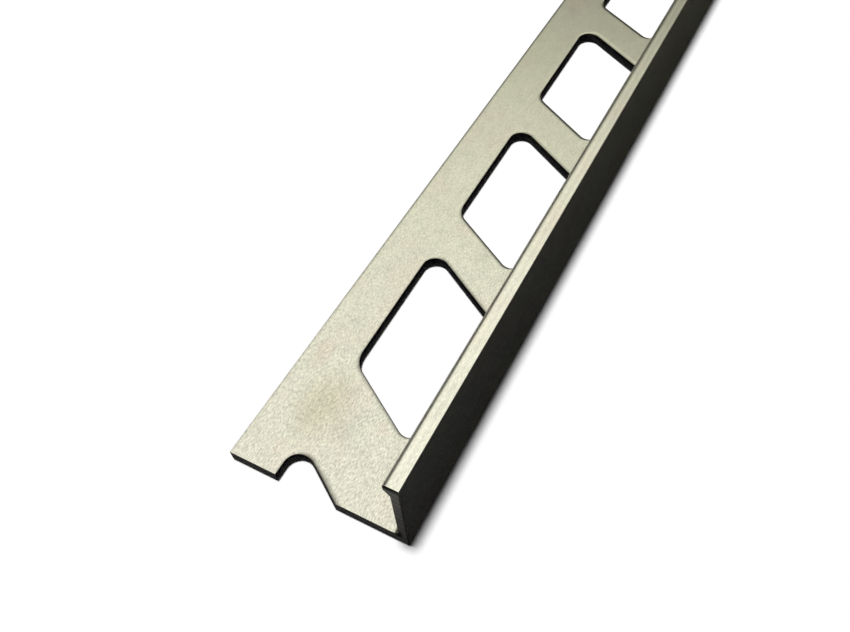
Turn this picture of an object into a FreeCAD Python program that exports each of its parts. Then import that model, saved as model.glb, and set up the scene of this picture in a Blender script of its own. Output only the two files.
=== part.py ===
"""Punched aluminium angle profile, sold as an edge trim for tiles.

One extruded piece: a flat leg that is bedded in mortar under the tile, an upright wall that shows
at the tile's edge, and a lip along the top of the wall that the tile butts against. The leg is
punched with a row of slanted windows, which let the mortar grip it. The near end is sawn through
a window of the row, and the far end is cut square past the last whole window.

Millimetres. X runs across the profile, from the leg's free edge at -X to the wall's outer face at
+X. Y runs along it, and +Z is up. The origin is the centre of the underside.
"""

import math
import os

import FreeCAD, Part

Vector = FreeCAD.Vector

# Stock sizes
LENGTH = 1000.0
HEIGHT = 12.5
WIDTH = 22.5

# Section
LEG_THICKNESS = 1.5
WALL_THICKNESS = 1.1
LIP_OVERHANG = 0.7
LIP_FACE_HEIGHT = 1.1
LIP_SLOPE_DROP = 0.9
INNER_CORNER_RADIUS = 0.8
FREE_EDGE_RADIUS = 0.2
LIP_NOSE_RADIUS = 0.3
OUTER_EDGE_RADIUS = 0.15

# Row of punched windows
EDGE_STRIP = 6.4
WALL_STRIP = 3.2
WINDOW_LENGTH = 19.9
WINDOW_PITCH = 27.0
WINDOW_SLANT_DEG = 33.0
ACUTE_CORNER_RADIUS = 1.7
OBTUSE_CORNER_RADIUS = 3.0
FIRST_WINDOW_SETBACK = 16.4

# The window that the near end runs through belongs to the punch's stroke before
STROKE_GAP = 4.5
STROKE_SIDESTEP = 0.3

# The punch passes this far through both faces of the leg
PUNCH_CLEARANCE = 1.0

FREE_EDGE_X = -WIDTH / 2
OUTER_FACE_X = WIDTH / 2
INNER_FACE_X = OUTER_FACE_X - WALL_THICKNESS
NEAR_END_Y = -LENGTH / 2
FAR_END_Y = LENGTH / 2


def rounded_outline(corners, radii):
    """A closed wire through the corners, each rounded by a tangent arc of its own radius.

    A radius of 0 keeps the corner sharp.
    """
    points = [Vector(*corner) for corner in corners]
    starts, ends, middles = [], [], []
    for index, corner in enumerate(points):
        before = (points[index - 1] - corner).normalize()
        after = (points[(index + 1) % len(points)] - corner).normalize()
        half_angle = before.getAngle(after) / 2
        radius = radii[index]
        setback = radius / math.tan(half_angle)
        inwards = (before + after).normalize()
        starts.append(corner + before * setback)
        ends.append(corner + after * setback)
        middles.append(corner + inwards * (radius / math.sin(half_angle) - radius))
    edges = []
    for index in range(len(points)):
        if radii[index] > 0:
            arc = Part.Arc(starts[index], middles[index], ends[index])
            edges.append(arc.toShape())
        following = starts[(index + 1) % len(points)]
        edges.append(Part.LineSegment(ends[index], following).toShape())
    return Part.Wire(edges)


def section_face():
    """The extrusion's section at the near end: leg, fillet, wall and lip."""
    lip_face_x = INNER_FACE_X - LIP_OVERHANG
    lip_face_foot = HEIGHT - LIP_FACE_HEIGHT
    lip_slope_foot = lip_face_foot - LIP_SLOPE_DROP
    outline = [
        (FREE_EDGE_X, 0.0, FREE_EDGE_RADIUS),
        (FREE_EDGE_X, LEG_THICKNESS, FREE_EDGE_RADIUS),
        (INNER_FACE_X, LEG_THICKNESS, INNER_CORNER_RADIUS),
        (INNER_FACE_X, lip_slope_foot, 0.0),
        (lip_face_x, lip_face_foot, 0.0),
        (lip_face_x, HEIGHT, LIP_NOSE_RADIUS),
        (OUTER_FACE_X, HEIGHT, OUTER_EDGE_RADIUS),
        (OUTER_FACE_X, 0.0, OUTER_EDGE_RADIUS),
    ]
    corners = [(x, NEAR_END_Y, z) for x, z, radius in outline]
    radii = [radius for x, z, radius in outline]
    return Part.Face(rounded_outline(corners, radii))


def window_punch(start_y, sidestep=0.0):
    """The punch for one window, whose side by the free edge starts at start_y.

    The window is a parallelogram. Its long sides run along the profile, and its short sides slant
    back towards the near end as they go from the free edge to the wall.
    """
    outer_x = FREE_EDGE_X + EDGE_STRIP - sidestep
    inner_x = INNER_FACE_X - WALL_STRIP - sidestep
    slant_run = (inner_x - outer_x) * math.tan(math.radians(WINDOW_SLANT_DEG))
    below = -PUNCH_CLEARANCE
    corners = [
        (outer_x, start_y, below),
        (outer_x, start_y + WINDOW_LENGTH, below),
        (inner_x, start_y + WINDOW_LENGTH - slant_run, below),
        (inner_x, start_y - slant_run, below),
    ]
    radii = [OBTUSE_CORNER_RADIUS, ACUTE_CORNER_RADIUS] * 2
    stroke = LEG_THICKNESS + 2 * PUNCH_CLEARANCE
    return Part.Face(rounded_outline(corners, radii)).extrude(Vector(0, 0, stroke))


def window_punches():
    """Every punch of the row: the cut window at the near end, then as many whole ones as fit.

    At the far end the leg keeps at least the width of one web past the last window.
    """
    web = WINDOW_PITCH - WINDOW_LENGTH
    start = NEAR_END_Y + FIRST_WINDOW_SETBACK
    punches = [window_punch(start - WINDOW_PITCH - STROKE_GAP, STROKE_SIDESTEP)]
    while start + WINDOW_LENGTH + web <= FAR_END_Y:
        punches.append(window_punch(start))
        start += WINDOW_PITCH
    return punches


def angle_profile():
    """The extruded section with its windows punched out."""
    bar = section_face().extrude(Vector(0, LENGTH, 0))
    return bar.cut(Part.makeCompound(window_punches())).removeSplitter()


def export(shape, node):
    """Writes the node's solid, after checking that it is one closed, valid piece."""
    solids = shape.Solids
    assert len(solids) == 1, f"{node} has {len(solids)} solids"
    solid = solids[0]
    assert solid.isValid() and solid.isClosed(), f"{node} is not a closed valid solid"
    solid.exportStep(os.path.join("parts", node + ".step"))
    box = solid.BoundBox
    print(f"{node}: {box.XLength:.3f} x {box.YLength:.3f} x {box.ZLength:.3f} mm,"
          f" {solid.Volume:.1f} mm3")


os.makedirs("parts", exist_ok=True)
export(angle_profile(), "angle_profile")
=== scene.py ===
# %% [markdown]
# # A punched aluminium angle profile
#
# The object is one metre of aluminium edge trim for tiles. It is a single extrusion: a flat leg
# that is bedded in mortar, an upright wall, and a small lip along the wall's top. The leg is
# punched with a row of slanted windows, the metal is anodised in a pale champagne colour, and the
# near end was sawn off in the middle of a window.
#
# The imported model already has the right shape, so this lesson builds the same shape again as a
# finer skin. It adds what a punch, a saw and a die leave behind: the soft edge where the metal was
# drawn down into the window, the tiny radii, and the grain. Everything is worked out in millimetres
# and turned into metres only where Blender takes it.

import math

import bmesh
import bpy
import numpy as np
from mathutils import Euler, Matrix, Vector


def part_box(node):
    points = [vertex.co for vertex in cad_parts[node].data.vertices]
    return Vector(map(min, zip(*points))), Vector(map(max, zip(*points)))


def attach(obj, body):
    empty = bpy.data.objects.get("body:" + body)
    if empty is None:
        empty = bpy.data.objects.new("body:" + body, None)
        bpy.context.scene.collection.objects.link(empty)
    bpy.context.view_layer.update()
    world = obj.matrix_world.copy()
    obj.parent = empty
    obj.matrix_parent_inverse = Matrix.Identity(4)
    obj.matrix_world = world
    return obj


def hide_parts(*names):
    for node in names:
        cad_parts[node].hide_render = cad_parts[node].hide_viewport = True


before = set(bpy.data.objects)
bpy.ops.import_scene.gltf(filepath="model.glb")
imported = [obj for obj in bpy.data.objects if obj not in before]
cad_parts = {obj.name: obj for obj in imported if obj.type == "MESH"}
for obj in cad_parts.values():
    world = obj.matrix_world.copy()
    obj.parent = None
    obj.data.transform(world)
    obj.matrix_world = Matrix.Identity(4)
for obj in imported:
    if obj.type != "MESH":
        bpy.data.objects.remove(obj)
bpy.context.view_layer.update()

# %% [markdown]
# ## The sizes
#
# The overall box comes from the imported model, so the skin can't grow out of it. What the box
# doesn't tell, such as the wall's thickness or the place of a window, is a named size here. X runs
# across the profile from the leg's free edge to the wall, Y runs along it, and Z is up. A roll is
# a soft edge, given by its width, its drop and its dome, which the section's cell explains.

# %% Sizes in millimetres
MM = 0.001
NODE = "angle_profile"
box_low, box_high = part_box(NODE)
FREE_EDGE_X, NEAR_Y = box_low.x / MM, box_low.y / MM
OUTER_FACE_X, FAR_Y, HEIGHT = box_high.x / MM, box_high.y / MM, box_high.z / MM

# The section
LEG_THICKNESS = 1.5
WALL_THICKNESS = 1.1
LIP_OVERHANG = 0.7
LIP_FACE_HEIGHT = 1.1
LIP_SLOPE_DROP = 0.9
INNER_CORNER_RADIUS = 0.8
FREE_EDGE_RADIUS = 0.2
FREE_EDGE_ROLL = (0.45, 0.045, 0.9)
LIP_NOSE_ROLL = (0.72, 0.34, 0.45)
OUTER_EDGE_RADIUS = 0.15
LIP_CORNER_RADIUS = 0.25

# The row of windows, and the stroke before it that cut the notch
EDGE_STRIP = 6.4
WALL_STRIP = 3.2
WINDOW_LENGTH = 19.9
WINDOW_PITCH = 27.0
SLANT_DEG = 33.0
ACUTE_RADIUS = 1.7
OBTUSE_RADIUS = 3.0
FIRST_SETBACK = 16.4
STROKE_GAP = 4.5
STROKE_SIDESTEP = 0.3

# The punched edges
LONG_SIDE_ROLL = (0.3, 0.12, 0.0)
FAR_SIDE_ROLL = (0.6, 0.2, 0.0)
NEAR_SIDE_ROLL = (0.7, 0.15, 0.5)
NOTCH_ROLL = (0.9, 0.35, 0.0)
LONG_SIDE_BREAK_OUT = 0.35
CROSS_SIDE_BREAK_OUT = 0.05
TORN_HEIGHT = 0.65
PUNCH_BREAK = 0.04

INNER_FACE_X = OUTER_FACE_X - WALL_THICKNESS
WINDOW_FREE_X = FREE_EDGE_X + EDGE_STRIP
WINDOW_WALL_X = INNER_FACE_X - WALL_STRIP
WEB = WINDOW_PITCH - WINDOW_LENGTH
SLANT = math.radians(SLANT_DEG)
RUN = (WINDOW_WALL_X - WINDOW_FREE_X) * math.tan(SLANT)
print("leg", FREE_EDGE_X, "to", INNER_FACE_X, "and each short side runs back", round(RUN, 3))

# %% [markdown]
# ## The camera
#
# The camera stands close to the sawn end, a little to the wall's side, and looks down along the
# row. It is so close that the nearest window looks more than twice as long as the fourth. Its place
# and angles come from fitting the profile's known edges to the picture, and are kept as plain
# numbers: a place in millimetres, three angles and a lens.

# %% Camera
CAMERA_PLACE = (32.055, -524.558, 78.906)
CAMERA_TURN_DEG = (37.623, 3.779, 28.115)
PICTURE_WIDTH = 850
FOCAL_PIXELS = 803.4
SENSOR = 36.0
CLIP_NEAR, CLIP_FAR = 1.0, 20000.0


def make_camera():
    """A perspective camera: lens = focal length in pixels * sensor width / picture width."""
    data = bpy.data.cameras.new("camera")
    data.sensor_width = SENSOR
    data.lens = FOCAL_PIXELS * SENSOR / PICTURE_WIDTH
    data.clip_start, data.clip_end = CLIP_NEAR * MM, CLIP_FAR * MM
    camera = bpy.data.objects.new("camera", data)
    camera.location = Vector(CAMERA_PLACE) * MM
    camera.rotation_euler = Euler([math.radians(angle) for angle in CAMERA_TURN_DEG])
    bpy.context.scene.collection.objects.link(camera)
    bpy.context.scene.camera = camera
    print("lens", round(data.lens, 2), "mm")


make_camera()

# %% [markdown]
# ## Meshes from numpy
#
# Each surface of the profile is a grid: rows of points, and every four neighbours make a face. The
# points come out of array formulas, so a row of thirty-six windows costs no more code than one.
# Three helpers are enough, beside the unit vector at an angle. The first walks along straight
# stretches, the second rounds a corner, and the third turns a grid into faces. Grids that meet are
# cut into the same numbers of steps.

# %% Grid helpers
HALF_CORNER = 6
CORNER_STEPS = 2 * HALF_CORNER
LONG_STEPS = 2
SHORT_STEPS = 2
WALL_END_STEPS = 3
HOLD = 0.06


def stations(points, counts):
    """Walks straight from point to point, each stretch cut into its own number of equal steps.

    A point of a stretch is start + t * (end - start), with t in equal steps from 0 to 1.
    """
    points = np.asarray(points, float)
    walked = [points[:1]]
    for start, end, count in zip(points[:-1], points[1:], counts):
        t = np.arange(1, count + 1)[:, None] / count
        walked.append(start + t * (end - start))
    return np.concatenate(walked)


def direction(degrees):
    """The unit vector at an angle: (cos a, sin a)."""
    return np.array([math.cos(math.radians(degrees)), math.sin(math.radians(degrees))])


def rounded_corner(corner, radius, from_deg, to_deg, steps):
    """The arc that rounds a corner, as points and as the normals there.

    With n and m the normals of the sides before and after, the centre is
    corner - radius * (n + m) / (1 + n . m), and a point is centre + radius * normal, while the
    normal turns evenly from n to m. A negative radius gives a hollow corner.
    """
    n, m = direction(from_deg), direction(to_deg)
    centre = np.asarray(corner) - radius * (n + m) / (1 + n @ m)
    angle = np.radians(np.linspace(from_deg, to_deg, steps + 1))
    normals = np.stack([np.cos(angle), np.sin(angle)], axis=1)
    return centre + radius * normals, normals


def grid_faces(rows, columns, closed=False):
    """Four corners for each face of a grid. A closed grid joins its last column to its first."""
    row = np.arange(rows - 1)[:, None]
    column = np.arange(columns if closed else columns - 1)[None, :]
    after = (column + 1) % columns
    corners = [row * columns + column, row * columns + after,
               (row + 1) * columns + after, (row + 1) * columns + column]
    return np.stack(np.broadcast_arrays(*corners), axis=-1).reshape(-1, 4)


# %% [markdown]
# ## The section
#
# Seen from the near end, the die's outline goes round clockwise: along the underside, up the leg's
# free edge, across the leg, up the wall, out under the lip, over the top and down the outer face.
# A real die has no sharp corner, so each corner is a short arc. On either side of it stands one
# holding point. It keeps the shading of the arc from bleeding over the wide flat face, which shows
# at once on bright metal.
#
# Three kinds of edge are softer than an arc: the lip's nose, the leg's free edge and the top of a
# punched edge. Each is a roll with a width and a drop of its own. An arc has only one radius, and
# can't be wide and shallow at once.

# %% Section lines
ARC_STEPS = 5
ROLL_STEPS = 9
TORN_BLEND = 0.3


def section_line(corners):
    """A line through rounded corners, with a holding point before and after each arc.

    A corner is (across, up, radius, normal before, normal after), with the angles in degrees. The
    line runs to the right of its normal, so its heading is the normal turned back by 90 degrees.
    """
    line = []
    for across, up, radius, before, after in corners:
        arc, normals = rounded_corner((across, up), radius, before, after, ARC_STEPS)
        heading_in = direction(before - 90)
        heading_out = direction(after - 90)
        line += [arc[:1] - HOLD * heading_in, arc, arc[-1:] + HOLD * heading_out]
    return np.concatenate(line)


def rolled_edge(across, top, roll):
    """An upright face that turns into a level top in a soft roll, and a holding point.

    The roll is (width, drop, dome). With u = cos a, and a from 0 to 90 degrees, a point lies
    width * (1 - u) from the face and drop * (dome * u^2 + (1 - dome) * (1 - sin a)) under the top.
    A dome of 0 is a quarter of an ellipse, and a dome of 1 is an even slope that ends in a corner.
    """
    width, drop, dome = roll
    turn = np.radians(np.linspace(0, 90, ROLL_STEPS + 1))
    inwards = width * (1 - np.cos(turn))
    fall = drop * (dome * np.cos(turn) ** 2 + (1 - dome) * (1 - np.sin(turn)))
    line = np.stack([across + inwards, top - fall], axis=1)
    return np.concatenate([line, line[-1:] + (HOLD, 0)])


def free_edge_line():
    """From the underside up round the leg's free edge to the leg's top, which falls off softly."""
    foot = section_line([(FREE_EDGE_X, 0.0, FREE_EDGE_RADIUS, 270, 180)])
    return np.concatenate([foot, rolled_edge(FREE_EDGE_X, LEG_THICKNESS, FREE_EDGE_ROLL)])


def wall_line():
    """From the leg's top up the wall, round the lip and down the outer face to the underside."""
    lip_x = INNER_FACE_X - LIP_OVERHANG
    lip_foot = HEIGHT - LIP_FACE_HEIGHT
    slope_normal = 180 + math.degrees(math.atan2(LIP_OVERHANG, LIP_SLOPE_DROP))
    inner_side = section_line([
        (INNER_FACE_X, LEG_THICKNESS, -INNER_CORNER_RADIUS, 90, 180),
        (INNER_FACE_X, lip_foot - LIP_SLOPE_DROP, -LIP_CORNER_RADIUS, 180, slope_normal),
        (lip_x, lip_foot, LIP_CORNER_RADIUS, slope_normal, 180),
    ])
    nose = rolled_edge(lip_x, HEIGHT, LIP_NOSE_ROLL)
    outer_side = section_line([
        (OUTER_FACE_X, HEIGHT, OUTER_EDGE_RADIUS, 90, 0),
        (OUTER_FACE_X, 0.0, OUTER_EDGE_RADIUS, 0, -90),
    ])
    return np.concatenate([inner_side, nose, outer_side])


def cut_line(break_out, roll):
    """The punched edge, as distance into the metal and height, from the underside to the top.

    The metal tears away wider underneath, is sheared upright above that, and rolls over at the top.
    """
    torn_normal = 180 + math.degrees(math.atan2(break_out, TORN_HEIGHT))
    torn = section_line([
        (break_out, 0.0, PUNCH_BREAK, 270, torn_normal),
        (0.0, TORN_HEIGHT, TORN_BLEND, torn_normal, 180),
    ])
    return np.concatenate([torn, rolled_edge(0.0, LEG_THICKNESS, roll)])


FREE_LINE, WALL_LINE = free_edge_line(), wall_line()
LONG_CUT = cut_line(LONG_SIDE_BREAK_OUT, LONG_SIDE_ROLL)
FAR_CUT = cut_line(CROSS_SIDE_BREAK_OUT, FAR_SIDE_ROLL)
NEAR_CUT = cut_line(CROSS_SIDE_BREAK_OUT, NEAR_SIDE_ROLL)
NOTCH_CUT = cut_line(CROSS_SIDE_BREAK_OUT, NOTCH_ROLL)
FREE_TOP_X, FREE_BOTTOM_X = FREE_LINE[-1, 0], FREE_LINE[0, 0]
WALL_TOP_X, WALL_BOTTOM_X = WALL_LINE[0, 0], WALL_LINE[-1, 0]
print("section points:", len(FREE_LINE), "free edge,", len(WALL_LINE), "wall,",
      len(LONG_CUT), "cut")

# %% [markdown]
# ## The punched windows
#
# A window is a parallelogram with round corners: wide ones at its two obtuse corners and tight ones
# at its two acute corners. Its outline is kept as points and outward normals. Then the same window
# at any distance into the metal is simply point + distance * normal, and the cut edge's line can be
# carried round it without ever crossing itself.
#
# A punch that leans a little doesn't cut every side alike. The far side of each window is drawn
# down in a deep roll, the near side in a flatter one, and the lengthwise sides have a tight roll
# and tear away wide underneath. So each kind of side has its own cut line, and round a corner one
# line blends into the next as the normal turns.
#
# The leg is laid out like a strip of equal paving stones, one for each window. A stone reaches from
# the middle of one web to the middle of the next. Its border follows the slant of the webs, and has
# as many points as the window's outline, so that top, cut and underside are one ring of faces.

# %% Window outline and its paving stone
FAR_NORMAL = 90 - SLANT_DEG
NEAR_NORMAL = -90 - SLANT_DEG


def window_outline():
    """Points and normals round a window whose side by the free edge starts at y = 0."""
    corners = [
        (WINDOW_FREE_X, 0.0, OBTUSE_RADIUS, NEAR_NORMAL + 360, 180),
        (WINDOW_FREE_X, WINDOW_LENGTH, ACUTE_RADIUS, 180, FAR_NORMAL),
        (WINDOW_WALL_X, WINDOW_LENGTH - RUN, OBTUSE_RADIUS, FAR_NORMAL, 0),
        (WINDOW_WALL_X, -RUN, ACUTE_RADIUS, 0, NEAR_NORMAL),
    ]
    arcs = [rounded_corner((x, y), radius, before, after, CORNER_STEPS)
            for x, y, radius, before, after in corners]
    sides = [LONG_STEPS, SHORT_STEPS, LONG_STEPS, SHORT_STEPS]
    points, normals = [], []
    for index, (arc, turned) in enumerate(arcs):
        following = arcs[(index + 1) % len(arcs)][0][0]
        straight = stations([arc[-1], following], [sides[index]])[1:-1]
        points += [arc, straight]
        normals += [turned, np.broadcast_to(turned[-1], straight.shape)]
    return np.concatenate(points), np.concatenate(normals)


OUTLINE, OUTLINE_NORMALS = window_outline()
FREE_STARTS = OUTLINE[CORNER_STEPS, 1]
FREE_STOPS = OUTLINE[CORNER_STEPS + LONG_STEPS, 1]
WALL_STOPS = OUTLINE[3 * CORNER_STEPS + LONG_STEPS + SHORT_STEPS, 1]
WALL_STARTS = OUTLINE[3 * CORNER_STEPS + 2 * LONG_STEPS + SHORT_STEPS, 1]


def stone_border(free_x, wall_x):
    """The border of one window's stone, in step with the window's outline."""
    near, far = -WEB / 2, WINDOW_LENGTH + WEB / 2
    corners = [
        (WINDOW_FREE_X, near), (free_x, near), (free_x, FREE_STARTS), (free_x, FREE_STOPS),
        (free_x, far), (WINDOW_FREE_X, far), (WINDOW_WALL_X, far - RUN), (wall_x, far - RUN),
        (wall_x, WALL_STOPS), (wall_x, WALL_STARTS), (wall_x, near - RUN),
        (WINDOW_WALL_X, near - RUN), (WINDOW_FREE_X, near),
    ]
    half = HALF_CORNER
    steps = [half, half, LONG_STEPS, half, half, SHORT_STEPS,
             half, half, LONG_STEPS, half, half, SHORT_STEPS]
    return stations(corners, steps)[:-1]


def blended(share, first, second):
    """A line for every column: (1 - share) * first + share * second, with the column's share."""
    share = np.asarray(share)[None, :, None]
    return (1 - share) * first + share * second


def carried(points, normals, lines):
    """Every column's line carried to its place: point + distance * normal, at the line's height."""
    flat = points[None] + lines[:, :, :1] * normals[None]
    return np.concatenate([flat, lines[:, :, 1:]], axis=2)


def side_share(normals, facing):
    """How far each normal has turned from a lengthwise side, 0, to a slanted side, 1.

    It is (n . f - s) / (1 - s), kept from 0 to 1, where f is the slanted side's normal and s is
    what n . f is on the lengthwise side beside it.
    """
    lengthwise = math.sin(SLANT)
    return np.clip((normals @ direction(facing) - lengthwise) / (1 - lengthwise), 0, 1)


def cut_lines(normals):
    """Every column's cut line: a lengthwise side's, blended into the far or the near side's."""
    lines = blended(side_share(normals, FAR_NORMAL), LONG_CUT[:, None], FAR_CUT[:, None])
    return blended(side_share(normals, NEAR_NORMAL), lines, NEAR_CUT[:, None])


def at_height(points, height):
    """A flat row of points, as one row of a grid."""
    return np.concatenate([points, np.full((len(points), 1), height)], axis=1)[None]


def window_count():
    """How many whole windows fit, when one web's width of leg is kept at the far end."""
    return int((FAR_Y - NEAR_Y - FIRST_SETBACK) // WINDOW_PITCH)


WINDOW_STARTS = NEAR_Y + FIRST_SETBACK + WINDOW_PITCH * np.arange(window_count())


def stones():
    """Every stone of the row: one ring grid, moved along Y to each window's place."""
    ring = np.concatenate([
        at_height(stone_border(FREE_BOTTOM_X, WALL_BOTTOM_X), 0.0),
        carried(OUTLINE, OUTLINE_NORMALS, cut_lines(OUTLINE_NORMALS)),
        at_height(stone_border(FREE_TOP_X, WALL_TOP_X), LEG_THICKNESS),
    ])
    moves = np.zeros((len(WINDOW_STARTS), 1, 1, 3))
    moves[:, 0, 0, 1] = WINDOW_STARTS
    return ring[None] + moves


print("windows:", len(WINDOW_STARTS), "each with", len(OUTLINE), "points round it")

# %% [markdown]
# ## The two ends of the leg
#
# The bar was cut to length without a look at the windows. The near end runs through one, so it
# shows a notch: the window's acute corner and the two sides that leave it. This window came from
# the punch's stroke before, so it stands a little out of step. The far end is cut square in plain
# metal past the last window.

# %% Near notch and far tail
FREE_END_STEPS = HALF_CORNER + 2
DEEP_BLEND = 9
LAST_FREE = WINDOW_STARTS[-1] + WINDOW_LENGTH + WEB / 2


def notch_outline():
    """Points and normals along the cut window, from the near end round its acute corner and back.

    The normals at the two ends lie in the sawn plane, and are as long as it takes to stay on the
    moved side, which is 1 / sin(slant) on the slanted one.
    """
    free_x = WINDOW_FREE_X - STROKE_SIDESTEP
    far_y = WINDOW_STARTS[0] - WEB - STROKE_GAP
    arc, turned = rounded_corner((free_x, far_y), ACUTE_RADIUS, 180, FAR_NORMAL, CORNER_STEPS)
    foot_x = free_x + (far_y - NEAR_Y) / math.tan(SLANT)
    free_steps = [FREE_END_STEPS - HALF_CORNER]
    slant_steps = [SHORT_STEPS + HALF_CORNER + WALL_END_STEPS]
    points = np.concatenate([
        stations([(free_x, NEAR_Y), arc[0]], free_steps)[:-1],
        arc,
        stations([arc[-1], (foot_x, NEAR_Y)], slant_steps)[1:],
    ])
    normals = np.concatenate([
        stations([(-1.0, 0.0), turned[0]], free_steps)[:-1],
        turned,
        stations([turned[-1], (1 / math.sin(SLANT), 0.0)], slant_steps)[1:],
    ])
    return points, normals


def near_border(free_x, wall_x):
    """The leg's border from the near end up to the first stone and back, in step with the notch."""
    far = WINDOW_STARTS[0] - WEB / 2
    corners = [
        (free_x, NEAR_Y), (free_x, far), (WINDOW_FREE_X, far), (WINDOW_WALL_X, far - RUN),
        (wall_x, far - RUN), (wall_x, NEAR_Y),
    ]
    half = HALF_CORNER
    return stations(corners, [FREE_END_STEPS, half, SHORT_STEPS, half, WALL_END_STEPS])


def near_leg():
    """The leg between the near end and the first stone, as one open ring grid round the notch.

    From the middle of the acute corner on, the edge blends from a window's ordinary one to the deep
    one of the slanted side.
    """
    points, normals = notch_outline()
    column = np.arange(len(points))
    deep = np.clip((column - FREE_END_STEPS) / DEEP_BLEND, 0, 1)
    return np.concatenate([
        at_height(near_border(FREE_BOTTOM_X, WALL_BOTTOM_X), 0.0),
        carried(points, normals, blended(deep, cut_lines(normals), NOTCH_CUT[:, None])),
        at_height(near_border(FREE_TOP_X, WALL_TOP_X), LEG_THICKNESS),
    ])


def far_leg(free_x, wall_x, height):
    """A flat face of the leg from the last stone to the far end, as a grid of two rows."""
    steps = [HALF_CORNER, SHORT_STEPS, HALF_CORNER]
    slanted = stations([(free_x, LAST_FREE), (WINDOW_FREE_X, LAST_FREE),
                        (WINDOW_WALL_X, LAST_FREE - RUN), (wall_x, LAST_FREE - RUN)], steps)
    square = slanted * (1, 0) + (0, FAR_Y)
    return np.concatenate([at_height(slanted, height), at_height(square, height)])


def along(first, starts, stops, last, end_steps):
    """The Y stations of a skin that runs beside the stones, from the near end to the far end.

    Between the ends it repeats one stone's stations: half a corner, the straight, half a corner.
    """
    anchors = (WINDOW_STARTS[:, None] + (first, starts, stops)).ravel()
    anchors = np.concatenate([[NEAR_Y], anchors, [last, FAR_Y]])
    counts = [end_steps] + [HALF_CORNER, LONG_STEPS, HALF_CORNER] * len(WINDOW_STARTS) + [1]
    return stations(anchors[:, None], counts)[:, 0]


def skin(line, stations_y):
    """A section line carried straight along Y: every point of the line at every station."""
    across = np.broadcast_to(line[:, None, 0], (len(line), len(stations_y)))
    up = np.broadcast_to(line[:, None, 1], across.shape)
    run = np.broadcast_to(stations_y[None], across.shape)
    return np.stack([across, run, up], axis=2)


FREE_STATIONS = along(-WEB / 2, FREE_STARTS, FREE_STOPS, LAST_FREE, FREE_END_STEPS)
WALL_STATIONS = along(-WEB / 2 - RUN, WALL_STARTS, WALL_STOPS, LAST_FREE - RUN, WALL_END_STEPS)
print("stations:", len(FREE_STATIONS), "along the free edge,",
      len(WALL_STATIONS), "along the wall")

# %% [markdown]
# ## One closed skin
#
# All the grids now meet point for point. They go into one mesh, the doubles along their borders are
# merged, and what stays open are the two sawn ends, which are filled with flat faces. A saw leaves
# a crisp edge with the smallest break, so a Bevel modifier rounds only the edges of those two ends.
# Shading is smooth except where faces meet at more than thirty degrees.
#
# Three finishes will go on it, so each face is told now whether it is die-drawn skin, punched edge
# or sawn end.

# %% Join the grids
SKIN, PUNCHED, SAWN = 0, 1, 2
PUNCHED_FROM_ROW = 2
MERGE = 0.0005
SHARP_DEG = 30.0
END_BREAK = 0.05
END_BREAK_SEGMENTS = 2


def all_grids():
    """(grid, closed, row where the punched edge starts, row where it stops) for every grid.

    Round a window the underside's border and a holding point come first, then the punched edge.
    """
    cut_rows = (PUNCHED_FROM_ROW, len(LONG_CUT))
    grids = [(ring, True, *cut_rows) for ring in stones()]
    grids.append((near_leg(), False, *cut_rows))
    grids += [(grid, False, 0, 0) for grid in (
        far_leg(FREE_TOP_X, WALL_TOP_X, LEG_THICKNESS),
        far_leg(FREE_BOTTOM_X, WALL_BOTTOM_X, 0.0),
        skin(FREE_LINE, FREE_STATIONS),
        skin(WALL_LINE, WALL_STATIONS),
    )]
    return grids


def join_grids(grids):
    """One array of points, one of faces and one of finishes, from all the grids."""
    points, faces, finishes, used = [], [], [], 0
    for grid, closed, cut_from, cut_to in grids:
        rows, columns = grid.shape[:2]
        made = grid_faces(rows, columns, closed)
        row = np.arange(len(made)) // (len(made) // (rows - 1))
        points.append(grid.reshape(-1, 3))
        faces.append(made + used)
        finishes.append(np.where((row >= cut_from) & (row < cut_to), PUNCHED, SKIN))
        used += rows * columns
    return np.concatenate(points), np.concatenate(faces), np.concatenate(finishes)


def put_in_mesh(name, points, faces, finishes):
    """Writes the arrays into a new mesh, in metres, with foreach_set."""
    mesh = bpy.data.meshes.new(name)
    mesh.vertices.add(len(points))
    mesh.vertices.foreach_set("co", (points * MM).astype(np.float32).ravel())
    mesh.loops.add(faces.size)
    mesh.loops.foreach_set("vertex_index", faces.astype(np.int32).ravel())
    mesh.polygons.add(len(faces))
    starts = np.arange(0, faces.size, faces.shape[1], dtype=np.int32)
    mesh.polygons.foreach_set("loop_start", starts)
    mesh.polygons.foreach_set("material_index", finishes.astype(np.int32))
    mesh.update(calc_edges=True)
    return mesh


def close_mesh(mesh):
    """Merges doubles, fills the sawn ends, turns the faces outwards and marks the ends' edges."""
    bm = bmesh.new()
    bm.from_mesh(mesh)
    bmesh.ops.remove_doubles(bm, verts=bm.verts, dist=MERGE * MM)
    rims = [edge for edge in bm.edges if len(edge.link_faces) == 1]
    ends = bmesh.ops.holes_fill(bm, edges=rims, sides=0)["faces"]
    for face in ends:
        face.material_index = SAWN
    bmesh.ops.recalc_face_normals(bm, faces=bm.faces)
    weight = bm.edges.layers.float.new("bevel_weight_edge")
    for face in ends:
        for edge in face.edges:
            edge[weight] = 1.0
    still_open = sum(len(edge.link_faces) != 2 for edge in bm.edges)
    triangles = sum(len(face.verts) - 2 for face in bm.faces)
    print("sawn faces:", len(ends), "open edges:", still_open,
          "volume:", round(bm.calc_volume() / MM ** 3, 1), "mm3, triangles:", triangles)
    bm.to_mesh(mesh)
    bm.free()


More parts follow.
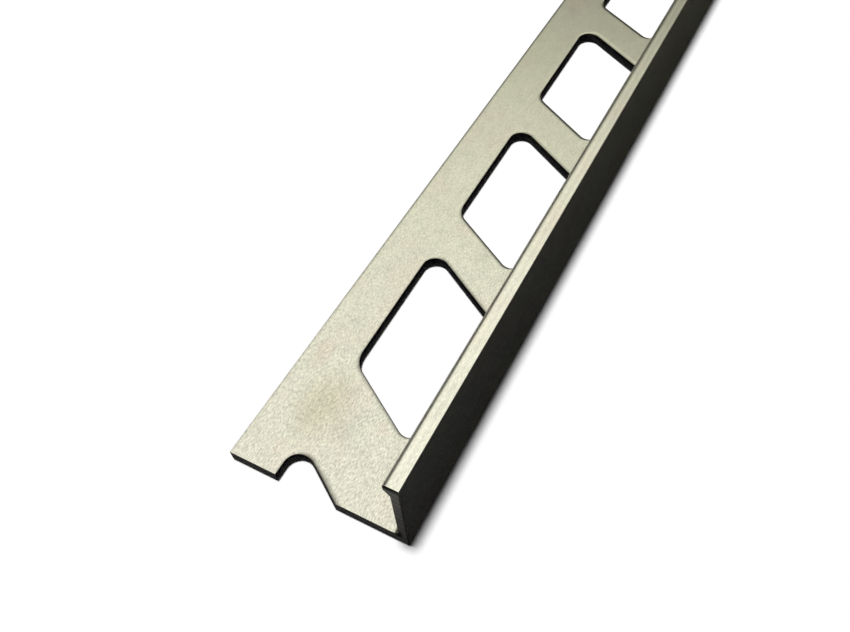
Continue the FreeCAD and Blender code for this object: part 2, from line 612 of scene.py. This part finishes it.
def make_profile():
    """The finished piece, with smooth shading, sharp edges and the broken edges at its ends."""
    mesh = put_in_mesh("punched_profile", *join_grids(all_grids()))
    close_mesh(mesh)
    mesh.shade_smooth()
    mesh.set_sharp_from_angle(angle=math.radians(SHARP_DEG))
    piece = bpy.data.objects.new("punched_profile", mesh)
    bpy.context.scene.collection.objects.link(piece)
    edge_break = piece.modifiers.new("broken edges", "BEVEL")
    edge_break.limit_method = "WEIGHT"
    edge_break.width = END_BREAK * MM
    edge_break.segments = END_BREAK_SEGMENTS
    return piece


profile = make_profile()

# %% [markdown]
# ## A map for other programs
#
# The finish below is made of node patterns, which only Blender can run. To take it elsewhere, it has
# to be baked into a square picture, and for that every face needs its own place on a flat map. A map
# made by itself would lay the bar down in one piece, with one pixel for each millimetre of its
# length.
# Here the bar is cut into four lengths that lie one above the other, which gives three and a half.
#
# Each length is split into columns: the leg's top, the lip's top, the two sides of the wall, the
# free edge, the underside and the punched edges. A column looks straight at its faces, from above
# or from the side, so nothing in it overlaps. The underside is hidden in use and is squeezed, while
# the thin punched edges are stretched. The windows' slanted sides would be mere lines in such a
# column, so they get one of their own, where their height runs along the bar.

# %% Map
LENGTHS = 4
ROOM_AT_ENDS = 6.0
COLUMN_GAP = 1.0
LEVEL_FROM = 0.7
UNDERSIDE_SQUEEZE = 0.3
EDGE_STRETCH = 2.0
CROSS_STRETCH = 8.0
FAR_SIDES_AT, NEAR_SIDES_AT = 9.0, 22.0


def read_numbers(items, name, kind, width):
    """One property of all items, as an array with a row for each item."""
    numbers = np.empty(len(items) * width, kind)
    items.foreach_get(name, numbers)
    return numbers.reshape(-1, width)


def map_columns(normal, centre, finish, place):
    """The columns of the map, as (faces, how far across each corner lies, the column's width)."""
    level = np.abs(normal[:, 2]) > LEVEL_FROM
    faces_up, faces_right = normal[:, 2] > 0, normal[:, 0] > 0
    high, by_wall = centre[:, 2] > HEIGHT / 2, centre[:, 0] > 0
    side = (finish == SKIN) & ~level
    cut = (finish == PUNCHED) & ~level
    cross = np.abs(normal[:, 1]) > np.abs(normal[:, 0])
    across, up = place[:, 0] - FREE_EDGE_X, place[:, 2]
    width, lip_x = OUTER_FACE_X - FREE_EDGE_X, INNER_FACE_X - LIP_OVERHANG - FREE_EDGE_X
    window_width = WINDOW_WALL_X - WINDOW_FREE_X + COLUMN_GAP
    stretched_up, stretched_height = up * EDGE_STRETCH, LEG_THICKNESS * EDGE_STRETCH
    return [
        (level & faces_up & ~high, across, width),
        (level & faces_up & high, across - lip_x, width - lip_x),
        (side & ~faces_right & by_wall, up, HEIGHT),
        (side & faces_right, up, HEIGHT),
        (side & ~faces_right & ~by_wall, stretched_up, stretched_height),
        (level & ~faces_up, across * UNDERSIDE_SQUEEZE, width * UNDERSIDE_SQUEEZE),
        (cut & faces_right & ~cross, stretched_up, stretched_height),
        (cut & ~faces_right & ~cross, stretched_up, stretched_height),
        (cut & cross, across - EDGE_STRIP + STROKE_SIDESTEP, window_width),
    ]


def map_for_baking(mesh):
    """Gives every corner its place on the map, from its face's direction and its own place.

    Along a length it is y, except on the windows' slanted sides. There it is the window's start
    plus a fixed distance plus the stretched height. The sawn ends lie past the lengths' ends.
    """
    counts = read_numbers(mesh.polygons, "loop_total", np.int32, 1)[:, 0]
    normal = read_numbers(mesh.polygons, "normal", np.float32, 3)
    centre = read_numbers(mesh.polygons, "center", np.float32, 3) / MM
    finish = read_numbers(mesh.polygons, "material_index", np.int32, 1)[:, 0]
    corner = read_numbers(mesh.loops, "vertex_index", np.int32, 1)[:, 0]
    place = read_numbers(mesh.vertices, "co", np.float32, 3)[corner] / MM
    face = np.repeat(np.arange(len(counts)), counts)

    slanted_y = centre[:, 1] + (centre[:, 0] - WINDOW_FREE_X) * math.tan(SLANT)
    window = np.floor((slanted_y + WEB / 2 - WINDOW_STARTS[0]) / WINDOW_PITCH)
    patch = WINDOW_STARTS[0] + WINDOW_PITCH * window
    patch += np.where(normal[:, 1] < 0, FAR_SIDES_AT, NEAR_SIDES_AT)
    columns = map_columns(normal, centre, finish, place)
    cross = columns[-1][0]
    along = np.where(cross[face], patch[face] + place[:, 2] * CROSS_STRETCH, place[:, 1])
    one_length = (FAR_Y - NEAR_Y) / LENGTHS
    middle = np.where(cross, patch + LEG_THICKNESS / 2 * CROSS_STRETCH, centre[:, 1])
    number = np.clip(np.floor((middle - NEAR_Y) / one_length), 0, LENGTHS - 1)[face]

    u = along - NEAR_Y - number * one_length + ROOM_AT_ENDS
    v = np.zeros(len(place))
    column_at = 0.0
    for faces, across, width in columns:
        v = np.where(faces[face], across + column_at, v)
        column_at += width + COLUMN_GAP
    v += number * column_at
    sawn = (finish == SAWN)[face]
    ends_at = one_length + 2 * ROOM_AT_ENDS
    u = np.where(sawn, place[:, 0] - FREE_EDGE_X + ends_at, u)
    v = np.where(sawn, place[:, 2] + number * column_at, v)
    size = (ends_at + OUTER_FACE_X - FREE_EDGE_X + COLUMN_GAP, LENGTHS * column_at)
    spots = np.stack([u, v], axis=1) / size
    mesh.uv_layers.new(name="OFBake").uv.foreach_set("vector", spots.astype(np.float32).ravel())
    print("map:", round(size[0]), "by", round(size[1]), "mm, from", spots.min(axis=0).round(4),
          "to", spots.max(axis=0).round(4))


map_for_baking(profile.data)

# %% [markdown]
# ## Helpers for materials
#
# A material is a tree of nodes. Most helpers add one kind of node, wire it up and hand back its
# output, so that a material can be written down like a sum. Places are object coordinates, which
# are metres, and a range of them is a pair of metres.

# %% Material helpers
# A Mix node has sockets for every kind of data. These are the ones for colours.
MIX_COLOURS_IN, MIX_COLOUR_OUT = (6, 7), 2


def node(tree, kind, **settings):
    """A new node with its settings. One that isn't the node's own is the input of that name."""
    made = tree.nodes.new(kind)
    for name, value in settings.items():
        if hasattr(made, name):
            setattr(made, name, value)
        else:
            made.inputs[name.replace("_", " ").title()].default_value = value
    return made


def stretched_noise(tree, per_metre, detail, stretch=(1, 1, 1)):
    """A noise pattern on object coordinates. Below 1 in stretch draws it out along that axis."""
    place = node(tree, "ShaderNodeTexCoord")
    mapping = node(tree, "ShaderNodeMapping")
    mapping.inputs["Scale"].default_value = stretch
    noise = node(tree, "ShaderNodeTexNoise", Scale=per_metre, Detail=detail)
    tree.links.new(place.outputs["Object"], mapping.inputs["Vector"])
    tree.links.new(mapping.outputs["Vector"], noise.inputs["Vector"])
    return noise.outputs["Fac"]


def between(tree, value, low_in, high_in, low_out, high_out):
    """A value moved from one range to another, and kept within it."""
    ranged = node(tree, "ShaderNodeMapRange")
    tree.links.new(value, ranged.inputs["Value"])
    for name, number in zip(("From Min", "From Max", "To Min", "To Max"),
                            (low_in, high_in, low_out, high_out)):
        ranged.inputs[name].default_value = number
    return ranged.outputs["Result"]


def combined(tree, operation, first, second):
    """Two values, or a value and a number, joined by an operation of arithmetic."""
    made = node(tree, "ShaderNodeMath", operation=operation)
    for socket, value in zip(made.inputs, (first, second)):
        if isinstance(value, (int, float)):
            socket.default_value = value
        else:
            tree.links.new(value, socket)
    return made.outputs["Value"]


def mixed_colour(tree, factor, first, second):
    """A colour between two colours."""
    mix = node(tree, "ShaderNodeMix", data_type="RGBA")
    tree.links.new(factor, mix.inputs["Factor"])
    for index, value in zip(MIX_COLOURS_IN, (first, second)):
        if isinstance(value, tuple):
            mix.inputs[index].default_value = (*value, 1.0)
        else:
            tree.links.new(value, mix.inputs[index])
    return mix.outputs[MIX_COLOUR_OUT]


def scaled_colour(tree, colour, factor):
    """A colour made lighter or darker by a value."""
    scale = node(tree, "ShaderNodeVectorMath", operation="SCALE")
    tree.links.new(colour, scale.inputs["Vector"])
    tree.links.new(factor, scale.inputs["Scale"])
    return scale.outputs["Vector"]


def tinted(tree, colour, tint):
    """A colour multiplied by another, channel by channel."""
    product = node(tree, "ShaderNodeVectorMath", operation="MULTIPLY")
    tree.links.new(colour, product.inputs[0])
    tree.links.new(tint, product.inputs[1])
    return product.outputs["Vector"]


def band(tree, value, centre, half_width):
    """1 at the centre of a band, and falling evenly to 0 at its two edges."""
    off_centre = combined(tree, "ABSOLUTE", combined(tree, "SUBTRACT", value, centre * MM), 0)
    return between(tree, off_centre, 0, half_width * MM, 1, 0)


def metal(name):
    """A new fully metallic material: the material, its node tree and its shader."""
    material = bpy.data.materials.new(name)
    material.use_nodes = True
    tree = material.node_tree
    shader = tree.nodes["Principled BSDF"]
    shader.inputs["Metallic"].default_value = 1.0
    return material, tree, shader


def add_bump(tree, shader, height, strength, depth):
    """Raises a pattern from the surface, by a depth in metres."""
    bump = node(tree, "ShaderNodeBump", Strength=strength, Distance=depth)
    tree.links.new(height, bump.inputs["Height"])
    tree.links.new(bump.outputs["Normal"], shader.inputs["Normal"])


# %% [markdown]
# ## The anodised skin
#
# Anodised aluminium is metal under a thin clear oxide. It was brushed along its length before the
# bath, which leaves a fine satin grain, and the bath tints it a pale champagne. Fully metallic with
# a roughness of about a third is the right base. A flat colour would look like paint, so four noise
# patterns ride on it: short lengthwise grain that changes colour, roughness and height together,
# long faint die lines, soft clouds, and patches where the tint drifts between green and rose. All
# of them read object coordinates, squeezed along Y so that they stretch along the bar. Each is
# given by how many waves it has in a metre, its detail and its stretch.
#
# The rest is given one by one. The colour is painted darker and a little warmer along the bar,
# away from the sawn end, a painted shade. The lip has a painted highlight near that end, and
# painted highlights beside its two edges all along. A thin painted shade line follows the leg's
# free edge, and a few soft stains lie on the leg near the end. Each is a distance in millimetres,
# turned into a share between 0 and 1.

# %% Anodised skin
GRAIN = (8500, 2, (1, 0.3, 1))
DIE_LINES = (8000, 2, (1, 0.05, 1))
CLOUDS = (900, 1, (1, 0.5, 1))
TINT_PATCHES = (200, 2, (1, 0.6, 1))
WHOLE_NOISE, MID_NOISE, HIGH_NOISE = (0.2, 0.8), (0.3, 0.7), (0.5, 0.7)
MID_GRAIN = (-0.5, 0.5)
FAINT_SHADE = (0.95, 1.05)
CHAMPAGNE_ROSE = (0.80, 0.75, 0.61)
CHAMPAGNE_GREEN = (0.795, 0.79, 0.635)
# Painted shade along the bar: the colour darkens and turns warmer away from the sawn end.
PAINTED_SHADE_NEAR = (1.0, 0.99, 1.0)
PAINTED_SHADE_AWAY = (0.87, 0.87, 0.79)
SHADE_AND_GRAIN_CHANGE_OVER = 80.0
GRAIN_ON_LEG = 0.38
GRAIN_ON_LIP = 0.20
GRAIN_CHANGES_FROM = 3.0
GRAIN_LEFT_AWAY = 0.3
GRAIN_FADES_FROM = 0.15
SKIN_ROUGHNESS = (0.34, 0.28)
SKIN_BUMP = (0.3, 0.000001)
# A painted shade line along the leg's free edge, deepening along the bar.
PAINTED_EDGE_SHADE_WIDTH = 0.4
PAINTED_EDGE_SHADE_GROWS = ((NEAR_Y + 10) * MM, (NEAR_Y + 45) * MM)
PAINTED_EDGE_SHADE_DEPTH = 0.75
LIP_STARTS = ((HEIGHT - 0.5) * MM, (HEIGHT - 0.1) * MM)
# Painted highlight on the lip near the sawn end, with a slight painted shade past it.
LIP_HIGHLIGHT_FADES = ((NEAR_Y + 40) * MM, (NEAR_Y + 58) * MM)
LIP_HIGHLIGHT_NEAR, LIP_SHADE_AWAY = 0.07, -0.01
# Painted highlights beside the lip's two edges.
INNER_HIGHLIGHT = (INNER_FACE_X - LIP_OVERHANG + 0.8, 0.4)
OUTER_HIGHLIGHT = (OUTER_FACE_X - 0.2, 0.35)
HIGHLIGHT_GAIN = 0.13
STAIN_CORE = 0.3
NO_TINT = (1.0, 1.0, 1.0)
BROWN_STAIN = (0.885, 0.86, 0.80)
GREY_STAIN = (0.92, 0.93, 0.92)
ROSE_STAIN = (1.0, 0.95, 0.94)
STAINS = [
    ((-5.2, 9.6), (4.0, 6.2), BROWN_STAIN),
    ((-0.8, 8.0), (2.5, 4.0), GREY_STAIN),
    ((2.0, 38.0), (1.5, 3.0), GREY_STAIN),
    ((-6.5, 3.0), (1.3, 1.5), ROSE_STAIN),
    ((-9.0, 15.5), (1.5, 3.0), ROSE_STAIN),
    ((2.7, 10.2), (1.2, 2.0), ROSE_STAIN),
]


def object_place(tree):
    """The three object coordinates, in metres: across, along and up."""
    place = node(tree, "ShaderNodeTexCoord")
    split = node(tree, "ShaderNodeSeparateXYZ")
    tree.links.new(place.outputs["Object"], split.inputs["Vector"])
    return split.outputs["X"], split.outputs["Y"], split.outputs["Z"]


def champagne(tree):
    """The tint with its grain and painted shade: its colour, and the grain as a value from -1 to 1.
    """
    grain = between(tree, stretched_noise(tree, *GRAIN), *WHOLE_NOISE, -1, 1)
    _, along_bar, up = object_place(tree)
    away = between(tree, along_bar, NEAR_Y * MM, (NEAR_Y + SHADE_AND_GRAIN_CHANGE_OVER) * MM, 0, 1)
    by_height = between(tree, up, GRAIN_CHANGES_FROM * MM, HEIGHT * MM, GRAIN_ON_LEG, GRAIN_ON_LIP)
    by_distance = between(tree, away, GRAIN_FADES_FROM, 1, 1, GRAIN_LEFT_AWAY)
    contrast = combined(tree, "MULTIPLY", by_height, by_distance)
    lines = between(tree, stretched_noise(tree, *DIE_LINES), *MID_NOISE, *FAINT_SHADE)
    clouds = between(tree, stretched_noise(tree, *CLOUDS), *WHOLE_NOISE, *FAINT_SHADE)
    patches = between(tree, stretched_noise(tree, *TINT_PATCHES), *HIGH_NOISE, 0, 1)
    tint = mixed_colour(tree, patches, CHAMPAGNE_GREEN, CHAMPAGNE_ROSE)
    shade = combined(tree, "MULTIPLY", clouds, lines)
    grainy = combined(tree, "ADD", combined(tree, "MULTIPLY", grain, contrast), 1.0)
    # Painted shade: darker and warmer from the sawn end along the bar.
    tint = tinted(tree, tint, mixed_colour(tree, away, PAINTED_SHADE_NEAR, PAINTED_SHADE_AWAY))
    return scaled_colour(tree, tint, combined(tree, "MULTIPLY", shade, grainy)), grain


def stained(tree, colour):
    """The colour under the few soft stains that the leg's top has near the sawn end.

    Around a stain's middle, r is the length of ((x - middle x) / half width, (y - middle y) / half
    length). The tint is full up to r = STAIN_CORE and gone at r = 1.
    """
    for (x, y), (half_x, half_y), tint in STAINS:
        place = node(tree, "ShaderNodeTexCoord")
        mapping = node(tree, "ShaderNodeMapping")
        mapping.inputs["Scale"].default_value = (1 / (half_x * MM), 1 / (half_y * MM), 0)
        mapping.inputs["Location"].default_value = (-x / half_x, -(NEAR_Y + y) / half_y, 0)
        length = node(tree, "ShaderNodeVectorMath", operation="LENGTH")
        tree.links.new(place.outputs["Object"], mapping.inputs["Vector"])
        tree.links.new(mapping.outputs["Vector"], length.inputs[0])
        inside = between(tree, length.outputs["Value"], STAIN_CORE, 1, 1, 0)
        colour = tinted(tree, colour, mixed_colour(tree, inside, NO_TINT, tint))
    return colour


def anodised_skin():
    """Champagne anodised skin with lengthwise grain, painted lip highlights and edge shade."""
    material, tree, shader = metal("champagne_anodised")
    colour, grain = champagne(tree)
    across, along_bar, up = object_place(tree)
    on_lip = between(tree, up, *LIP_STARTS, 0, 1)
    # Painted highlights beside the lip's two edges.
    painted_edge_highlights = combined(tree, "MAXIMUM", band(tree, across, *INNER_HIGHLIGHT),
                      band(tree, across, *OUTER_HIGHLIGHT))
    painted_edge_highlights = combined(tree, "MULTIPLY", painted_edge_highlights, HIGHLIGHT_GAIN)
    # Painted highlight on the lip near the sawn end.
    painted_lip_highlight = between(tree, along_bar, *LIP_HIGHLIGHT_FADES, LIP_HIGHLIGHT_NEAR, LIP_SHADE_AWAY)
    painted_lip_light = combined(tree, "MULTIPLY", on_lip, combined(tree, "ADD", painted_edge_highlights, painted_lip_highlight))
    # Painted shade line along the free edge.
    painted_edge_shade = combined(tree, "MULTIPLY", band(tree, across, FREE_EDGE_X, PAINTED_EDGE_SHADE_WIDTH),
                         between(tree, along_bar, *PAINTED_EDGE_SHADE_GROWS, 0, PAINTED_EDGE_SHADE_DEPTH))
    shade = combined(tree, "SUBTRACT", combined(tree, "ADD", painted_lip_light, 1.0), painted_edge_shade)
    tree.links.new(scaled_colour(tree, stained(tree, colour), shade), shader.inputs["Base Color"])
    roughness = between(tree, grain, *MID_GRAIN, *SKIN_ROUGHNESS)
    tree.links.new(roughness, shader.inputs["Roughness"])
    add_bump(tree, shader, grain, *SKIN_BUMP)
    return material


# %% [markdown]
# ## The punched edges and the sawn ends
#
# The punch draws the skin down over the window's edge, shears the upper part of the thickness to a
# smooth burnished band, and tears the rest. The height along Z tells one from the other: champagne
# at the very top, sheared metal in the band, and dull torn metal below it. On the roll the
# champagne is painted darker as it drops, a painted shade: it halves in lightness with every
# twelfth of a millimetre that it was drawn down. A power of one half says just that.
#
# The sawn ends are bare metal too, crossed by the level marks of the saw's teeth, so their grain is
# stretched along X. A painted shade darkens the end along the top of the lip and in a thin strip
# down the outer face, and a small dark patch sits by the inner corner, where leg and wall meet.

# %% Punched edge and sawn end
BARE_METAL = (0.62, 0.60, 0.55)
SHEARED_METAL = (0.42, 0.40, 0.36)
TORN_METAL = (0.22, 0.215, 0.20)
# Painted shade on the punched edge's roll: its lightness halves with each such drop.
SHADE_HALVES_EVERY = 0.082
SKIN_ENDS = ((LEG_THICKNESS - 0.42) * MM, (LEG_THICKNESS - 0.3) * MM)
STREAKS = (3000, 3, (1, 1, 0.1))
RAGGED_BY = 0.1 * MM
BAND_STARTS = ((TORN_HEIGHT - 0.05) * MM, (TORN_HEIGHT + 0.05) * MM)
CUT_ROUGHNESS = (0.55, 0.3)
CUT_BUMP = (0.4, 0.00001)
SAW_MARKS = (1800, 2, (0.15, 1, 1))
SAW_MARK_NOISE = (0.35, 0.65)
SAWN_ROUGHNESS = (0.5, 0.36)
SAWN_BUMP = (0.8, 0.00002)
# Painted shade along the top of the lip and down the outer face, on the sawn end.
TOP_RIM_SHADE_WIDTH = 1.1
SIDE_RIM_SHADE_WIDTH = 0.18
# A small dark patch on the sawn end by the inner corner.
CORNER_PATCH_WIDTH = 0.55
CORNER_PATCH_HEIGHT = 1.1
RIM_FULL_AT = 0.6
RIM_TONE = 0.12


def punched_edge():
    """Painted-shade drawn skin, the burnished band and the torn metal, one under the other."""
    material, tree, shader = metal("punched_edge")
    height = object_place(tree)[2]
    colour, grain = champagne(tree)
    streaks = stretched_noise(tree, *STREAKS)
    ragged = between(tree, streaks, *MID_NOISE, -RAGGED_BY, RAGGED_BY)
    burnished = between(tree, combined(tree, "ADD", height, ragged), *BAND_STARTS, 0, 1)
    below = mixed_colour(tree, burnished, TORN_METAL, SHEARED_METAL)
    drawn = combined(tree, "SUBTRACT", LEG_THICKNESS * MM, height)
    # Painted shade: the roll darkens as it drops.
    left = combined(tree, "POWER", 0.5, combined(tree, "DIVIDE", drawn, SHADE_HALVES_EVERY * MM))
    skin_left = between(tree, height, *SKIN_ENDS, 0, 1)
    colour = mixed_colour(tree, skin_left, below, scaled_colour(tree, colour, left))
    tree.links.new(colour, shader.inputs["Base Color"])
    tree.links.new(between(tree, burnished, 0, 1, *CUT_ROUGHNESS), shader.inputs["Roughness"])
    add_bump(tree, shader, streaks, *CUT_BUMP)
    return material


def sawn_end():
    """Bare aluminium with saw marks, painted shade along two rims and a dark corner patch."""
    material, tree, shader = metal("sawn_end")
    across, _, up = object_place(tree)
    marks = stretched_noise(tree, *SAW_MARKS)
    shade = mixed_colour(tree, between(tree, marks, *SAW_MARK_NOISE, 0, 1), TORN_METAL, BARE_METAL)
    # Painted shade along the top and outer rims of the sawn end.
    rim = combined(tree, "MAXIMUM", band(tree, up, HEIGHT, TOP_RIM_SHADE_WIDTH),
                   band(tree, across, OUTER_FACE_X, SIDE_RIM_SHADE_WIDTH))
    # A small dark patch by the inner corner, where leg and wall meet.
    corner_patch = combined(tree, "MULTIPLY", band(tree, across, INNER_FACE_X, CORNER_PATCH_WIDTH),
                    band(tree, up, LEG_THICKNESS + INNER_CORNER_RADIUS / 2, CORNER_PATCH_HEIGHT))
    rim = combined(tree, "MAXIMUM", rim, corner_patch)
    shade = scaled_colour(tree, shade, between(tree, rim, 0, RIM_FULL_AT, 1, RIM_TONE))
    tree.links.new(shade, shader.inputs["Base Color"])
    roughness = between(tree, marks, *MID_NOISE, *SAWN_ROUGHNESS)
    tree.links.new(roughness, shader.inputs["Roughness"])
    add_bump(tree, shader, marks, *SAWN_BUMP)
    return material


for finish in (anodised_skin(), punched_edge(), sawn_end()):
    profile.data.materials.append(finish)

# %% [markdown]
# ## The studio
#
# The picture is a product shot on white: the ground is pure white, the flat faces are light, and
# every upright face is nearly black. That contrast is the oldest trick for metal. The photographer
# lays black card close around the piece, so that its upright faces mirror the card, while the flat
# faces mirror the bright tent above.
#
# Two black screens stand far off, on the left and at the back. The flat faces look just over them,
# so the bar darkens a little with distance, and every edge that rolls away from the camera tips its
# mirror down into them and shows as a thin dark line. Card and screens are seen only by mirror
# rays: the camera still sees white ground, and the floor, which lies a hair below the bar so that a
# dark seam runs along its foot, keeps the bar's shadow.

# %% Stage
FLOOR_HALF = 6000.0
FLOOR_DROP = 0.2
CARD_DROP = 0.02
CARD_MARGIN = 60.0
CARD_NEAR_MARGIN = 14.0
SCREEN_AWAY = 3000.0
LEFT_SCREEN_DEG = 37.0
BACK_SCREEN_DEG = 33.0
WHITE = (1.0, 1.0, 1.0)
NEARLY_BLACK = (0.002, 0.002, 0.005)


def make_sheet(name, corners):
    """One four-sided face of the stage, through four corners in millimetres."""
    mesh = bpy.data.meshes.new(name)
    mesh.from_pydata([tuple(Vector(corner) * MM) for corner in corners], [], [(0, 1, 2, 3)])
    sheet = bpy.data.objects.new(name, mesh)
    bpy.context.scene.collection.objects.link(sheet)
    return sheet


def flat_sheet(name, low_x, low_y, high_x, high_y, z):
    """A level rectangle."""
    return make_sheet(name, [(low_x, low_y, z), (high_x, low_y, z),
                             (high_x, high_y, z), (low_x, high_y, z)])


def upright_sheet(name, start, end, degrees):
    """A screen between two points of the floor, as seen from the near end.

    Its height is its distance times the tangent of the angle that it covers there.
    """
    top = SCREEN_AWAY * math.tan(math.radians(degrees))
    rim = ((start, 0.0), (end, 0.0), (end, top), (start, top))
    return make_sheet(name, [(x, y + NEAR_Y, z) for (x, y), z in rim])


def matt(name, colour):
    """A plain matt material."""
    material = bpy.data.materials.new(name)
    material.use_nodes = True
    tree = material.node_tree
    tree.nodes.clear()
    diffuse = tree.nodes.new("ShaderNodeBsdfDiffuse")
    diffuse.inputs["Color"].default_value = (*colour, 1.0)
    output = tree.nodes.new("ShaderNodeOutputMaterial")
    tree.links.new(diffuse.outputs["BSDF"], output.inputs["Surface"])
    return material


floor = flat_sheet("floor", -FLOOR_HALF, -FLOOR_HALF, FLOOR_HALF, FLOOR_HALF, -FLOOR_DROP)
floor.data.materials.append(matt("white_floor", WHITE))
black = matt("black_card", NEARLY_BLACK)
near_left, far_left = (-SCREEN_AWAY, -SCREEN_AWAY), (-SCREEN_AWAY, SCREEN_AWAY)
far_right = (SCREEN_AWAY, SCREEN_AWAY)
cards = [
    flat_sheet("black_card", FREE_EDGE_X - CARD_MARGIN, NEAR_Y - CARD_NEAR_MARGIN,
               OUTER_FACE_X + CARD_MARGIN, FAR_Y + CARD_MARGIN, -CARD_DROP),
    upright_sheet("left_screen", near_left, far_left, LEFT_SCREEN_DEG),
    upright_sheet("back_screen", far_left, far_right, BACK_SCREEN_DEG),
]
for card in cards:
    card.data.materials.append(black)
    for ray in ("camera", "diffuse", "transmission", "shadow"):
        setattr(card, "visible_" + ray, False)

# %% [markdown]
# ## The light
#
# The tent is the world: plain white wherever the camera or the metal looks, and almost nothing as
# light on the floor. One lamp, like a broad sun nearly overhead, lights the floor. It leans a few
# degrees over the free edge, so that a narrow soft shadow falls on the wall's side. The metal
# doesn't mirror the lamp, which would only bleach the tent's even white.
#
# A ray that has left the matt floor may meet the metal and mirror the tent from there. It would
# fill the shadow beside the wall with stray warm light, so the tent is dark to any ray that has
# scattered once: that is what the Diffuse Depth tells.

# %% World and lamp
SKY_ON_FLOOR = 0.03
LAMP_LEAN_X_DEG = -3.5
LAMP_LEAN_Y_DEG = 0.6
LAMP_WIDTH_DEG = 7.6
LAMP_ON_FLOOR = 0.99


def make_world():
    """White, at full strength for the camera and for mirrors, and weaker as light."""
    world = bpy.data.worlds.new("white_tent")
    bpy.context.scene.world = world
    world.use_nodes = True
    tree = world.node_tree
    background = tree.nodes["Background"]
    background.inputs["Color"].default_value = (*WHITE, 1.0)
    path = node(tree, "ShaderNodeLightPath")
    seen = combined(tree, "MAXIMUM", path.outputs["Is Camera Ray"], path.outputs["Is Glossy Ray"])
    seen = combined(tree, "MAXIMUM", seen, path.outputs["Is Transmission Ray"])
    off_the_floor = between(tree, path.outputs["Diffuse Depth"], 0, 1, 1, 0)
    strength = between(tree, combined(tree, "MULTIPLY", seen, off_the_floor), 0, 1, SKY_ON_FLOOR, 1)
    tree.links.new(strength, background.inputs["Strength"])


def make_lamp():
    """One broad lamp, far away and almost overhead. Its strength is pi times its share on white."""
    data = bpy.data.lights.new("broad_lamp", "SUN")
    data.angle = math.radians(LAMP_WIDTH_DEG)
    data.energy = math.pi * LAMP_ON_FLOOR
    lamp = bpy.data.objects.new("broad_lamp", data)
    lean_x, lean_y = math.radians(LAMP_LEAN_X_DEG), math.radians(LAMP_LEAN_Y_DEG)
    towards = Vector((math.tan(lean_x), math.tan(lean_y), 1.0))
    lamp.rotation_euler = towards.to_track_quat("Z", "Y").to_euler()
    lamp.visible_glossy = False
    bpy.context.scene.collection.objects.link(lamp)


make_world()
make_lamp()
bpy.context.scene.view_settings.view_transform = "Standard"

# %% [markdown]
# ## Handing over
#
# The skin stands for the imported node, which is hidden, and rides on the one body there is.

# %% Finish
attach(profile, "root")
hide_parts(NODE)
